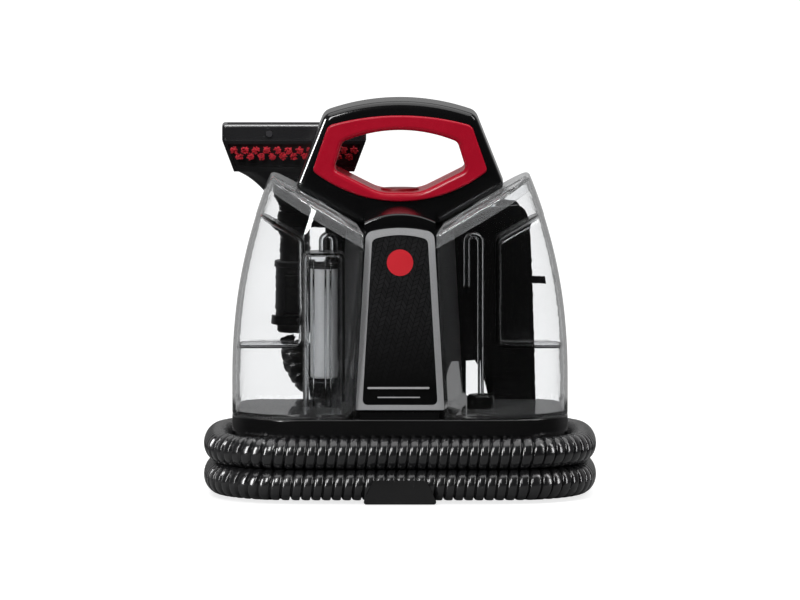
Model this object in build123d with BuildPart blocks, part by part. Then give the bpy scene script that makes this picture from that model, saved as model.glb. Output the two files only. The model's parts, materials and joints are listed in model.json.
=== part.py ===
from build123d import *
from math import cos, pi, radians, sin, sqrt, tan
import os

# Portable spot extractor: a lift-off recovery tank and a lift-off clean tank stand on
# either side of a black tower, the suction hose is wound on the base, and the wand with
# its brush tool stands in two clips at the back left. Millimetres, +Z up, front at -Y,
# origin on the floor under the middle of the base.

# ---------------------------------------------------------------- driving dimensions
WALL = 2.5  # moulded casing thickness
GAP = 0.3  # clearance between pieces that move apart
FLOOR_GAP = 4.0  # height of the feet

HOSE_D = 25.0
COIL_HALF_X, COIL_HALF_Y, COIL_CORNER = 144.5, 89.0, 60.0  # centreline of one turn
COIL_LOW, COIL_HIGH = 15.0, 40.0  # height of the two turns' centrelines

CORE_HALF_X, CORE_HALF_Y, CORE_CORNER = 131.5, 76.0, 47.0
DECK_LOW, DECK_TOP = 53.0, 66.0
DECK_HALF_X, DECK_FRONT, DECK_BACK, DECK_CORNER = 134.0, -80.0, 75.5, 50.0

BODY_FRONT, BODY_BACK, BODY_HALF_X = -78.0, 50.0, 134.0  # outer form of the tanks
BODY_FRONT_R, BODY_BACK_R = 52.0, 24.0
SIDE_LEAN_R, FRONT_LEAN_R, LEAN_START = 400.0, 650.0, 100.0
TANK_LOW = 67.0
LID_SLOPE = 30.0
LID_INNER_X, LID_INNER_Z, LID_DEPTH, LID_SKIN = 31.0, 214.0, 9.5, 3.0
LID_EDGE, LID_ROUND_FROM = 3.0, 90.0  # rounding of the lid's outer edge, and where it starts
RECESS_R = 5.0

TOWER_HALF, TOWER_SPREAD, TOWER_TAPER = 35.6, 0.10, 0.055  # half width, per mm of y, of z
TOWER_FRONT, TOWER_LEAN = -73.0, 0.1346  # front face at the deck, and how it leans back
TOWER_BACK, TOWER_TOP = 74.0, 214.7
SEAM_Y = -8.0  # joint between front and rear casings

HANDLE_FRONT, HANDLE_SPLIT, HANDLE_BACK = -8.0, 15.0, 38.0
HANDLE_DEPTH = HANDLE_BACK - HANDLE_FRONT
HANDLE_EDGE = 6.0  # rounding of the handle's front outline
GRIP_PROUD = 2.0
BUTTON_X, BUTTON_Y, BUTTON_Z = 15.5, 9.0, 243.0
SCREW_PLACES = [(0, 308.5)] + [
    (side * x, z) for side in (-1, 1) for x, z in ((75.2, 254.5), (40, 304.3), (44, 229.5))
]

MOTOR_Y = 32.0
SHAFT_R = 4.0
PUMP_Y = -38.0

WAND_X, WAND_Y = -85.0, 84.0
WAND_R, GRIP_R = 12.5, 16.0
GRIP_LOW, GRIP_HIGH, WAND_HIGH = 126.0, 173.0, 240.0
TOOL_LOW, TOOL_FRAME_Z, TOOL_TOP = 251.0, 275.7, 288.5
TOOL_HALF_LOW, TOOL_HALF_HIGH = 48.3, 57.6
TOOL_FRONT, TOOL_BACK = 66.0, 100.0
TOOL_MID_Y = (TOOL_FRONT + TOOL_BACK) / 2
TUFT_PITCH, TUFT_R = 8.8, 2.7

STACK_X, STACK_Y = -60.8, -2.0
STACK_W, STACK_D, STACK_TOP = 33.6, 36.0, 193.0
VALVE_X, VALVE_Y = 64.5, -20.0
FLAP_START, FLAP_LENGTH, FLAP_Y, FLAP_WIDTH = 22.0, 40.0, -29.0, 30.0  # on the lid's slope
BODY_LEVELS = (TANK_LOW, 100, 140, 180, 220, 262)  # heights at which the body's plan is drawn
HOUSING_FRONT, HOUSING_STEP = 51.5, 100.0  # the rear housing is wider above the step
HOUSING_HALF_LOW, HOUSING_HALF_HIGH, HOUSING_TOP = 53.0, 60.0, 232.0
GLAND_X, GLAND_Z = 40.0, 92.0
PANEL_FRONT, PANEL_BACK = 56.0, 64.0
HOOK_X, HOOK_Z, HOOK_END, HOOK_PLATE = 88.0, 205.0, 104.5, 4.0
FORWARD = (0, -1, 0)

# ---------------------------------------------------------------- shared planes
SLOPE = radians(LID_SLOPE)
LID_TOP = Plane(
    origin=(LID_INNER_X, 0, LID_INNER_Z),
    x_dir=(cos(SLOPE), 0, sin(SLOPE)),
    z_dir=(-sin(SLOPE), 0, cos(SLOPE)),
)
LID_SEAM = LID_TOP.offset(-LID_DEPTH)
RECESS_TOP = LID_TOP.offset(-36.3)
TANK_INNER = Plane(
    origin=(TOWER_HALF + 1.0, TOWER_FRONT, DECK_TOP),
    z_dir=(1, -TOWER_SPREAD, TOWER_TAPER),
)
TANK_CHAMFER = Plane(
    origin=(TOWER_HALF + 8.0, TOWER_FRONT, TANK_LOW), z_dir=(1, -TOWER_SPREAD, 1)
)
FRONT_FACE = Plane(
    origin=(0, TOWER_FRONT, DECK_TOP), x_dir=(1, 0, 0), z_dir=(0, -1, TOWER_LEAN)
)


# ---------------------------------------------------------------- shared profiles
def body_plan(z, inset=0.0):
    """Right half of the body's plan at a height; its sides lean in towards the top."""
    rise = max(0.0, z - LEAN_START)
    outer = BODY_HALF_X - (SIDE_LEAN_R - sqrt(SIDE_LEAN_R**2 - rise**2)) - inset
    front = BODY_FRONT + (FRONT_LEAN_R - sqrt(FRONT_LEAN_R**2 - rise**2)) + inset
    back = BODY_BACK - inset
    with BuildSketch(Plane.XY.offset(z)) as plan:
        with Locations((outer / 2, (front + back) / 2)):
            Rectangle(outer, back - front)
        corners = plan.vertices().group_by(Axis.X)[-1].sort_by(Axis.Y)
        fillet(corners[0], BODY_FRONT_R - inset)
        corners = plan.vertices().sort_by(Axis.Y)[-2:].sort_by(Axis.X)
        fillet(corners[-1], BODY_BACK_R - inset)
    return plan.sketch


def tower_half(y, z):
    """Half width of the tower between the tanks."""
    return TOWER_HALF + TOWER_SPREAD * (y - TOWER_FRONT) - TOWER_TAPER * (z - DECK_TOP)


def tower_plan(z, inset=0.0):
    """The tower's plan at a height: a trapezoid that widens towards the back."""
    front = TOWER_FRONT + TOWER_LEAN * (z - DECK_TOP) + inset
    back = TOWER_BACK - inset
    front_half = tower_half(front, z) - inset
    back_half = tower_half(back, z) - inset
    with BuildSketch(Plane.XY.offset(z)) as plan:
        with BuildLine():
            Polyline(
                (-front_half, front),
                (front_half, front),
                (back_half, back),
                (-back_half, back),
                close=True,
            )
        make_face()
    return plan.sketch


def handle_outline(y):
    """The whole carrying handle seen from the front, shoulders on the tanks' lids."""
    shoulder_x, shoulder_z = 83.5, LID_INNER_Z + 1.2 + (83.5 - LID_INNER_X) * tan(SLOPE)
    top_x, top_z = 60.5, 303.2
    with BuildSketch(Plane.XZ.offset(-y)) as outline:
        with BuildLine():
            ThreePointArc((-top_x, top_z), (0, 314), (top_x, top_z))
            Polyline(
                (top_x, top_z),
                (shoulder_x, shoulder_z),
                (LID_INNER_X, LID_INNER_Z + 1.2),
                (-LID_INNER_X, LID_INNER_Z + 1.2),
                (-shoulder_x, shoulder_z),
                (-top_x, top_z),
            )
        make_face()
        fillet(outline.vertices().sort_by(Axis.Y)[-2:], 10)
        fillet(outline.vertices().group_by(Axis.X)[0], 4)
        fillet(outline.vertices().group_by(Axis.X)[-1], 4)
    return outline.sketch


def grip_outline(y):
    """Outside of the soft grip ring, where it meets the black handle."""
    with BuildSketch(Plane.XZ.offset(-y)) as outline:
        with BuildLine():
            ThreePointArc((-57.5, 294.8), (0, 303), (57.5, 294.8))
            Line((57.5, 294.8), (70, 258.5))
            ThreePointArc((70, 258.5), (0, 234), (-70, 258.5))
            Line((-70, 258.5), (-57.5, 294.8))
        make_face()
        fillet(outline.vertices().sort_by(Axis.Y)[-2:], 7)
        fillet(outline.vertices().sort_by(Axis.Y)[:2], 4)
    return outline.sketch


def hand_outline(y):
    """The opening that the hand goes through."""
    with BuildSketch(Plane.XZ.offset(-y)) as outline:
        with BuildLine():
            ThreePointArc((-46, 281.5), (0, 291), (46, 281.5))
            Polyline(
                (46, 281.5), (52.8, 259.5), (16, 241), (-16, 241), (-52.8, 259.5), (-46, 281.5)
            )
        make_face()
        fillet(outline.vertices().group_by(Axis.Y)[0], 34)
        fillet(outline.vertices().sort_by(Axis.Y)[-2:], 6)
        fillet(outline.vertices().group_by(Axis.X)[0], 5)
        fillet(outline.vertices().group_by(Axis.X)[-1], 5)
    return outline.sketch


def bezel_outline(half_low, half_high, low, side_high, crown, high_corner, low_corner):
    """A tall panel on the leaning front face: narrower at the top, with a crowned top edge."""
    with BuildSketch(FRONT_FACE) as outline:
        with BuildLine():
            Polyline(
                (-half_high, side_high), (-half_low, low), (half_low, low), (half_high, side_high)
            )
            ThreePointArc((half_high, side_high), (0, crown), (-half_high, side_high))
        make_face()
        fillet(outline.vertices().group_by(Axis.Y)[-1], high_corner)
        fillet(outline.vertices().group_by(Axis.Y)[0], low_corner)
    return outline.sketch


# ---------------------------------------------------------------- base
with BuildPart() as base_pan:
    with BuildSketch(Plane.XY.offset(FLOOR_GAP)):
        RectangleRounded(2 * CORE_HALF_X, 2 * CORE_HALF_Y, CORE_CORNER)
    extrude(amount=DECK_LOW - FLOOR_GAP)
    offset(amount=-3, openings=base_pan.faces().sort_by(Axis.Z)[-1])
    with BuildSketch(Plane.XZ.offset(-CORE_HALF_Y)):
        with Locations((-52, 15)):
            Circle(7.2)
        with Locations((-34, 15)):
            Circle(3.4)
    extrude(amount=6, both=True, mode=Mode.SUBTRACT)

with BuildPart() as base_deck:
    with BuildSketch(Plane.XY.offset(DECK_LOW)):
        with Locations((0, (DECK_FRONT + DECK_BACK) / 2)):
            RectangleRounded(2 * DECK_HALF_X, DECK_BACK - DECK_FRONT, DECK_CORNER)
    extrude(amount=DECK_TOP - DECK_LOW)
    fillet(base_deck.edges().group_by(Axis.Z)[-1], 1.5)
    offset(amount=-WALL, openings=base_deck.faces().sort_by(Axis.Z)[0])
    with BuildSketch(Plane.XY.offset(DECK_TOP)):
        with Locations((0, 2)):
            Rectangle(66, 132)
        with Locations((STACK_X, STACK_Y + 9), (STACK_X, STACK_Y - 9)):
            Circle(8.1)
        with Locations((VALVE_X, VALVE_Y)):
            Circle(13.1)
    extrude(amount=-10, mode=Mode.SUBTRACT)

with BuildPart() as rubber_feet:
    with BuildSketch():
        with GridLocations(210, 104, 2, 2):
            Circle(11)
    extrude(amount=FLOOR_GAP)
    chamfer(rubber_feet.edges().group_by(Axis.Z)[0], 1)

with BuildPart() as hose_cradle:
    with BuildSketch(Plane.XZ.offset(COIL_HALF_Y + HOSE_D / 2 + 0.5)):
        with BuildLine():
            Polyline((-30, 0.8), (30, 0.8), (21, 20), (-21, 20), close=True)
        make_face()
    extrude(amount=2.6)
    fillet(hose_cradle.edges().filter_by(Axis.Y), 2)
    with BuildSketch(Plane.XY.offset(0.8)):
        with Locations((0, -87)):
            Rectangle(52, 34)
    extrude(amount=1.4)
    with BuildSketch(Plane.XY.offset(2.2)):
        with Locations((0, -72.5)):
            Rectangle(52, 5)
    extrude(amount=FLOOR_GAP - 2.2)

# ---------------------------------------------------------------- tower and casings
with BuildPart() as tower_form:
    loft(sections=[tower_plan(DECK_TOP), tower_plan(TOWER_TOP)], ruled=True)
    upright = tower_form.edges().filter_by(lambda e: e.length > 100)
    fillet(upright.sort_by(Axis.Y)[:2], 3)

with BuildPart() as tower_hollow:
    loft(
        sections=[tower_plan(DECK_TOP, WALL), tower_plan(TOWER_TOP - WALL, WALL)], ruled=True
    )

with BuildPart() as hood_form:
    for y, half, side, crown in ((-51.5, 28.0, 221.5, 228), (SEAM_Y, 28.5, 224.5, 232)):
        with BuildSketch(Plane.XZ.offset(-y)):
            with BuildLine():
                Polyline((-half, side), (-half, 213), (half, 213), (half, side))
                ThreePointArc((half, side), (0, crown), (-half, side))
            make_face()
    loft(ruled=True)
    fillet(hood_form.edges().group_by(Axis.Y)[0].sort_by(Axis.Z)[-1], 2.5)

with BuildPart() as front_cover:
    add(tower_form.part)
    split(bisect_by=Plane.XZ.offset(-SEAM_Y), keep=Keep.TOP)
    add(tower_hollow.part, mode=Mode.SUBTRACT)
    add(hood_form.part)
    with BuildSketch(Plane.XY.offset(TOWER_TOP - WALL)):
        with Locations((0, -29)):
            Rectangle(48, 38)
    extrude(amount=9, mode=Mode.SUBTRACT)
    with BuildSketch(Plane.XY.offset(DECK_TOP)) as pedestal:
        with Locations((0, -74.5)):
            RectangleRounded(64, 7, 3.4)
    extrude(amount=5.5)

with BuildPart() as front_bezel:
    frame_outer = bezel_outline(35.4, 27.2, 7.1, 148.5, 152.2, 7, 1.2)
    frame_inner = bezel_outline(30.0, 22.2, 11.1, 143.0, 146.6, 5, 4)
    extrude(frame_outer, amount=2.2, dir=FRONT_FACE.z_dir)
    extrude(frame_inner, amount=2.2, dir=FRONT_FACE.z_dir, mode=Mode.SUBTRACT)

with BuildPart() as label_panel:
    panel_face = bezel_outline(29.9, 22.1, 11.2, 142.9, 146.5, 5, 4)
    extrude(panel_face, amount=1.2, dir=FRONT_FACE.z_dir)

with BuildPart() as rear_housing:
    add(tower_form.part)
    split(bisect_by=Plane.XZ.offset(-SEAM_Y), keep=Keep.BOTTOM)
    with BuildSketch(Plane.XY.offset(DECK_TOP)):
        with Locations((0, (HOUSING_FRONT + TOWER_BACK) / 2)):
            RectangleRounded(2 * HOUSING_HALF_LOW, TOWER_BACK - HOUSING_FRONT, 4)
    extrude(amount=HOUSING_TOP - DECK_TOP)
    with BuildSketch(Plane.XY.offset(HOUSING_STEP)):
        with Locations((0, (HOUSING_FRONT + TOWER_BACK) / 2)):
            RectangleRounded(2 * HOUSING_HALF_HIGH, TOWER_BACK - HOUSING_FRONT, 8)
    extrude(amount=HOUSING_TOP - HOUSING_STEP)
    with BuildSketch(Plane.XY.offset(205)):
        with Locations((0, 49.3)):
            Rectangle(58, 21.4)
    extrude(amount=HOUSING_TOP - 205)
    fillet(rear_housing.edges().group_by(Axis.Z)[-1], 2)
    add(tower_hollow.part, mode=Mode.SUBTRACT)
    with BuildSketch(Plane.XY.offset(DECK_TOP)):
        with Locations((0, (HOUSING_FRONT + TOWER_BACK) / 2)):
            RectangleRounded(2 * (HOUSING_HALF_LOW - WALL), TOWER_BACK - HOUSING_FRONT - 2 * WALL, 2)
    extrude(amount=HOUSING_TOP - 3 - DECK_TOP, mode=Mode.SUBTRACT)
    with BuildSketch(Plane.XY.offset(HOUSING_STEP + WALL)):
        with Locations((0, (HOUSING_FRONT + TOWER_BACK) / 2)):
            RectangleRounded(
                2 * (HOUSING_HALF_HIGH - WALL), TOWER_BACK - HOUSING_FRONT - 2 * WALL, 6
            )
    extrude(amount=HOUSING_TOP - 3 - HOUSING_STEP - WALL, mode=Mode.SUBTRACT)
    with BuildSketch(Plane.XZ.offset(-TOWER_BACK)):
        with Locations((0, 125)):
            RectangleRounded(56, 44, 4)
        with Locations((GLAND_X, GLAND_Z)):
            Circle(5.1)
    extrude(amount=4, both=True, mode=Mode.SUBTRACT)

with BuildPart() as exhaust_grille:
    with BuildSketch(Plane.XZ.offset(-TOWER_BACK)):
        with Locations((0, 125)):
            RectangleRounded(55.6, 43.6, 3.8)
    extrude(amount=WALL)
    with BuildSketch(Plane.XZ.offset(-TOWER_BACK)):
        with Locations((0, 125)):
            with GridLocations(0, 6, 1, 6):
                SlotOverall(46, 3)
    extrude(amount=WALL, mode=Mode.SUBTRACT)

with BuildPart() as cord_gland:
    with BuildSketch(Plane.XZ.offset(-TOWER_BACK + WALL)):
        with Locations((GLAND_X, GLAND_Z)):
            Circle(5)
    extrude(amount=-WALL)
    with BuildSketch(Plane.XZ.offset(-TOWER_BACK)):
        with Locations((GLAND_X, GLAND_Z)):
            Circle(7.5)
    extrude(amount=-3)
    with BuildSketch(Plane.XZ.offset(-TOWER_BACK - 3)):
        with Locations((GLAND_X, GLAND_Z)):
            Circle(5)
    extrude(amount=-8)
    chamfer(cord_gland.edges().group_by(Axis.Y)[-1], 1)
    with BuildSketch(Plane.XZ.offset(-TOWER_BACK + WALL)):
        with Locations((GLAND_X, GLAND_Z)):
            Circle(2.6)
    extrude(amount=-20, mode=Mode.SUBTRACT)

# ---------------------------------------------------------------- carrying handle
with BuildPart() as handle_form:
    extrude(handle_outline(HANDLE_BACK), amount=HANDLE_DEPTH, dir=FORWARD)
    extrude(
        grip_outline(HANDLE_BACK + 5), amount=HANDLE_DEPTH + 10, dir=FORWARD, mode=Mode.SUBTRACT
    )
    fillet(handle_form.faces().sort_by(Axis.Y)[0].outer_wire().edges(), HANDLE_EDGE)
    fillet(handle_form.faces().sort_by(Axis.Y)[-1].outer_wire().edges(), 2.5)
    with BuildSketch(Plane.XY.offset(LID_INNER_Z)):
        with Locations((0, HANDLE_SPLIT)):
            Rectangle(36, 28)
    extrude(amount=16, mode=Mode.SUBTRACT)
    with BuildSketch(Plane.XY.offset(228)):
        with Locations((0, HANDLE_SPLIT)):
            Ellipse(BUTTON_X + 0.5, BUTTON_Y + 0.5)
    extrude(amount=16, mode=Mode.SUBTRACT)
    with BuildSketch(Plane.XZ.offset(-HANDLE_BACK)):
        with Locations(*SCREW_PLACES):
            Circle(1.7)
    extrude(amount=HANDLE_BACK - HANDLE_SPLIT + 10, mode=Mode.SUBTRACT)
    with BuildSketch(Plane.XZ.offset(-HANDLE_BACK)):
        with Locations(*SCREW_PLACES):
            Circle(3.3)
    extrude(amount=5, mode=Mode.SUBTRACT)

with BuildPart() as handle_front_shell:
    add(handle_form.part)
    split(bisect_by=Plane.XZ.offset(-HANDLE_SPLIT), keep=Keep.TOP)

with BuildPart() as handle_rear_shell:
    add(handle_form.part)
    split(bisect_by=Plane.XZ.offset(-HANDLE_SPLIT), keep=Keep.BOTTOM)

with BuildPart() as housing_screws:
    with BuildSketch(Plane.XZ.offset(-HANDLE_BACK + 5)):
        with Locations(*SCREW_PLACES):
            Circle(1.5)
    extrude(amount=HANDLE_BACK - HANDLE_SPLIT + 4)
    with BuildSketch(Plane.XZ.offset(-HANDLE_BACK + 5)):
        with Locations(*SCREW_PLACES):
            Circle(3)
    extrude(amount=-2.4)

with BuildPart() as handle_grip:
    extrude(
        grip_outline(HANDLE_BACK + GRIP_PROUD), amount=HANDLE_DEPTH + 2 * GRIP_PROUD, dir=FORWARD
    )
    extrude(
        hand_outline(HANDLE_BACK + 5), amount=HANDLE_DEPTH + 10, dir=FORWARD, mode=Mode.SUBTRACT
    )
    fillet(handle_grip.faces().sort_by(Axis.Y)[0].outer_wire().edges(), 1.6)
    fillet(handle_grip.faces().sort_by(Axis.Y)[-1].outer_wire().edges(), 1.6)
    fillet(handle_grip.faces().sort_by(Axis.Y)[0].inner_wires()[0].edges(), 4)
    fillet(handle_grip.faces().sort_by(Axis.Y)[-1].inner_wires()[0].edges(), 4)
    with BuildSketch(Plane.XY.offset(228)):
        with Locations((0, HANDLE_SPLIT)):
            Ellipse(BUTTON_X + 0.4, BUTTON_Y + 0.4)
    extrude(amount=25, mode=Mode.SUBTRACT)

with BuildPart() as power_button:
    with BuildSketch(Plane.XY.offset(BUTTON_Z - 8)):
        with Locations((0, HANDLE_SPLIT)):
            Ellipse(BUTTON_X, BUTTON_Y)
    extrude(amount=8)
    fillet(power_button.edges().group_by(Axis.Z)[-1], 1.6)
    with BuildSketch(Plane.XY.offset(BUTTON_Z - 8)):
        with Locations((0, HANDLE_SPLIT)):
            Circle(3)
    extrude(amount=-5.5)

with BuildPart() as power_switch:
    with BuildSketch(Plane.XY.offset(LID_INNER_Z + 1.2)):
        with Locations((0, HANDLE_SPLIT)):
            RectangleRounded(26, 20, 1.5)
    extrude(amount=9)
    with BuildSketch(Plane.XY.offset(LID_INNER_Z + 10.2)):
        with Locations((0, HANDLE_SPLIT)):
            Circle(2.5)
    extrude(amount=1.4)

# ---------------------------------------------------------------- motor, fan and pump
with BuildPart() as motor_mount:
    with BuildSketch(Plane.XY.offset(80)):
        with Locations((0, MOTOR_Y)):
            RectangleRounded(66, 72, 10)
            Circle(15, mode=Mode.SUBTRACT)
    extrude(amount=4)
    with BuildSketch(Plane.XY.offset(FLOOR_GAP + 3)):
        with Locations((-28, 2), (28, 2), (-14, 64), (14, 64)):
            Circle(4)
    extrude(amount=80 - FLOOR_GAP - 3)

with BuildPart() as fan_housing:
    with BuildSketch(Plane.XY.offset(84)):
        with Locations((0, MOTOR_Y)):
            Circle(36)
    extrude(amount=22)
    with BuildSketch(Plane.XY.offset(86)):
        with Locations((0, MOTOR_Y)):
            Circle(34)
    extrude(amount=18, mode=Mode.SUBTRACT)
    with BuildSketch(Plane.XY.offset(84)):
        with Locations((0, MOTOR_Y)):
            Circle(12)
    extrude(amount=2, mode=Mode.SUBTRACT)
    with BuildSketch(Plane.XY.offset(104)):
        with Locations((0, MOTOR_Y)):
            Circle(11)
    extrude(amount=2, mode=Mode.SUBTRACT)
    with BuildSketch(Plane.XZ.offset(-MOTOR_Y - 30)):
        with Locations((0, 95)):
            Rectangle(24, 12)
    extrude(amount=-8, mode=Mode.SUBTRACT)

with BuildPart() as fan_impeller:
    with BuildSketch(Plane.XY.offset(90)):
        with Locations((0, MOTOR_Y)):
            Circle(31)
            Circle(SHAFT_R, mode=Mode.SUBTRACT)
    extrude(amount=2)
    with BuildSketch(Plane.XY.offset(92)):
        with Locations((0, MOTOR_Y)):
            Circle(8)
            Circle(SHAFT_R, mode=Mode.SUBTRACT)
            with PolarLocations(19, 9):
                with Locations(Location((0, 0), 35)):
                    Rectangle(22, 1.6)
    extrude(amount=8)

with BuildPart() as motor_can:
    with BuildSketch(Plane.XY.offset(106)):
        with Locations((0, MOTOR_Y)):
            Circle(34)
    extrude(amount=59)
    fillet(motor_can.edges().group_by(Axis.Z)[-1], 4)
    offset(amount=-2, openings=motor_can.faces().sort_by(Axis.Z)[0])
    with BuildSketch(Plane.XY.offset(157)):
        with Locations((0, MOTOR_Y)):
            Circle(14)
    extrude(amount=8)
    with BuildSketch(Plane.XY.offset(157)):
        with Locations((0, MOTOR_Y)):
            Circle(11)
    extrude(amount=8, mode=Mode.SUBTRACT)
    with BuildSketch(Plane.XY.offset(113)):
        with Locations((0, MOTOR_Y)):
            with PolarLocations(33, 8):
                Rectangle(8, 8)
    extrude(amount=8, mode=Mode.SUBTRACT)

with BuildPart() as motor_stator:
    with BuildSketch(Plane.XY.offset(122)):
        with Locations((0, MOTOR_Y)):
            Circle(32)
            Circle(22, mode=Mode.SUBTRACT)
    extrude(amount=30)

with BuildPart() as motor_armature:
    with BuildSketch(Plane.XY.offset(120)):
        with Locations((0, MOTOR_Y)):
            Circle(21.5)
            Circle(SHAFT_R, mode=Mode.SUBTRACT)
            with PolarLocations(20.5, 12):
                Rectangle(5, 2, mode=Mode.SUBTRACT)
    extrude(amount=33)

with BuildPart() as motor_bearings:
    for z in (99.0, 158.0):
        with BuildSketch(Plane.XY.offset(z + 5)):
            with Locations((0, MOTOR_Y)):
                Circle(11)
                Circle(SHAFT_R + 0.05, mode=Mode.SUBTRACT)
        extrude(amount=2 if z < 120 else -5)

with BuildPart() as motor_shaft:
    with BuildSketch(Plane.XY.offset(87)):
        with Locations((0, MOTOR_Y)):
            Circle(SHAFT_R)
    extrude(amount=80)
    chamfer(motor_shaft.edges().group_by(Axis.Z)[-1], 0.8)

with BuildPart() as pump_body:
    with BuildSketch(Plane.XY.offset(78)):
        with Locations((0, PUMP_Y)):
            RectangleRounded(44, 40, 4)
    extrude(amount=4)
    with BuildSketch(Plane.XY.offset(82)):
        with Locations((0, PUMP_Y)):
            Circle(17)
    extrude(amount=38)
    fillet(pump_body.edges().group_by(Axis.Z)[-1], 3)
    with BuildSketch(Plane.XY.offset(78)):
        with Locations((-12, PUMP_Y), (12, PUMP_Y)):
            Circle(3)
    extrude(amount=-6)
    with BuildSketch(Plane.XY.offset(FLOOR_GAP + 3)):
        with Locations((0, PUMP_Y)):
            with GridLocations(36, 32, 2, 2):
                Circle(3)
    extrude(amount=78 - FLOOR_GAP - 3)


def pipe_section(line, outer, inner):
    """Ring across the start of a pipe's centreline."""
    with BuildSketch(Plane(origin=line @ 0, z_dir=line % 0)) as ring:
        Circle(outer)
        if inner:
            Circle(inner, mode=Mode.SUBTRACT)
    return ring.sketch


with BuildPart() as suction_duct:
    with BuildLine() as duct_line:
        FilletPolyline(
            (0, MOTOR_Y, 84),
            (0, MOTOR_Y, 38),
            (STACK_X, STACK_Y + 9, 38),
            (STACK_X, STACK_Y + 9, 60),
            radius=14,
        )
    sweep(sections=pipe_section(duct_line.line, 9, 7.5), path=duct_line.line)

with BuildPart() as recovery_duct:
    with BuildLine() as duct_line:
        FilletPolyline(
            (-52, 72, 15), (-52, 34, 15), (STACK_X, STACK_Y - 9, 26), (STACK_X, STACK_Y - 9, 60), radius=12
        )
    sweep(sections=pipe_section(duct_line.line, 7, 5.5), path=duct_line.line)

with BuildPart() as water_line_feed:
    with BuildLine() as tube_line:
        FilletPolyline(
            (VALVE_X, VALVE_Y, 52), (VALVE_X, VALVE_Y, 28), (12, PUMP_Y, 28), (12, PUMP_Y, 72), radius=14
        )
    sweep(sections=pipe_section(tube_line.line, 3, 2), path=tube_line.line)

with BuildPart() as water_line_spray:
    with BuildLine() as tube_line:
        FilletPolyline(
            (-12, PUMP_Y, 72), (-12, PUMP_Y, 15), (-12, 30, 15), (-34, 50, 15), (-34, 72, 15), radius=11
        )
    sweep(sections=pipe_section(tube_line.line, 3, 2), path=tube_line.line)

# ---------------------------------------------------------------- tank seats and hose port
with BuildPart() as recovery_seat:
    with BuildSketch(Plane.XY.offset(60)):
        with Locations((STACK_X, STACK_Y + 9), (STACK_X, STACK_Y - 9)):
            Circle(8)
    extrude(amount=6)
    with BuildSketch(Plane.XY.offset(DECK_TOP)):
        with Locations((STACK_X, STACK_Y)):
            SlotCenterToCenter(18, 22, rotation=90)
    extrude(amount=0.6)
    with BuildSketch(Plane.XY.offset(60)):
        with Locations((STACK_X, STACK_Y + 9), (STACK_X, STACK_Y - 9)):
            Circle(6)
    extrude(amount=8, mode=Mode.SUBTRACT)

with BuildPart() as clean_seat:
    with BuildSketch(Plane.XY.offset(58)):
        with Locations((VALVE_X, VALVE_Y)):
            Circle(13)
    extrude(amount=DECK_TOP - 58)
    with BuildSketch(Plane.XY.offset(60)):
        with Locations((VALVE_X, VALVE_Y)):
            Circle(11)
    extrude(amount=10, mode=Mode.SUBTRACT)
    with BuildSketch(Plane.XY.offset(58)):
        with Locations((VALVE_X, VALVE_Y)):
            Circle(3)
    extrude(amount=-6)
    with BuildSketch(Plane.XY.offset(60)):
        with Locations((VALVE_X, VALVE_Y)):
            Circle(1.5)
    extrude(amount=2.2)

with BuildPart() as hose_port:
    with BuildSketch(Plane.YZ.offset(-62)):
        with Locations((COIL_HALF_Y, COIL_LOW)):
            Circle(HOSE_D / 2 - 0.3)
    extrude(amount=34)
    fillet(hose_port.edges().group_by(Axis.X)[-1], 4)
    with BuildSketch(Plane.XZ.offset(-COIL_HALF_Y)):
        with Locations((-52, 15)):
            Circle(7)
        with Locations((-34, 15)):
            Circle(3.2)
    extrude(amount=COIL_HALF_Y - 72)

# ---------------------------------------------------------------- tanks
with BuildPart() as tank_block:
    loft(sections=[body_plan(z) for z in BODY_LEVELS])
    split(bisect_by=TANK_INNER, keep=Keep.TOP)
    split(bisect_by=TANK_CHAMFER, keep=Keep.TOP)
    split(bisect_by=LID_TOP, keep=Keep.BOTTOM)
    lid_face = tank_block.faces().filter_by(lambda f: f.normal_at().dot(LID_TOP.z_dir) > 0.999)
    fillet([edge for edge in lid_face.edges() if edge.center().X > LID_ROUND_FROM], LID_EDGE)

with BuildPart() as tank_cavity:
    loft(sections=[body_plan(z, WALL) for z in (TANK_LOW + WALL, *BODY_LEVELS[1:])])
    split(bisect_by=TANK_INNER.offset(WALL), keep=Keep.TOP)
    split(bisect_by=TANK_CHAMFER.offset(WALL), keep=Keep.TOP)
    split(bisect_by=LID_TOP.offset(-LID_SKIN), keep=Keep.BOTTOM)


def recess_block(margin):
    """Finger recess at the tank's outer back corner, grown by a margin for its wall."""
    low_x, low_y, low_z = 79 - margin, 12 - margin, 116 - margin
    with BuildPart() as block:
        with BuildSketch(Plane.XY.offset(low_z)):
            with Locations((low_x, low_y)):
                Rectangle(70, 60, align=(Align.MIN, Align.MIN))
        extrude(amount=120)
        split(bisect_by=RECESS_TOP.offset(margin), keep=Keep.BOTTOM)
        inner_side = block.faces().sort_by(Axis.X)[0]
        front_side = block.faces().sort_by(Axis.Y)[0]
        rims = [
            edge
            for edge in (inner_side.edges() + front_side.edges())
            if edge.center().X < 125 and edge.center().Y < 60
        ]
        fillet(rims, RECESS_R + margin)
    return block.part


with BuildPart() as tank_recess:
    add(recess_block(0))

with BuildPart() as tank_recess_wall:
    add(recess_block(WALL))

with BuildPart() as tank_hollow:
    add(tank_cavity.part)
    add(tank_recess_wall.part, mode=Mode.SUBTRACT)

with BuildPart() as tank_blank:
    add(tank_block.part)
    split(bisect_by=LID_SEAM, keep=Keep.BOTTOM)
    add(tank_hollow.part, mode=Mode.SUBTRACT)
    add(tank_recess.part, mode=Mode.SUBTRACT)

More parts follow.
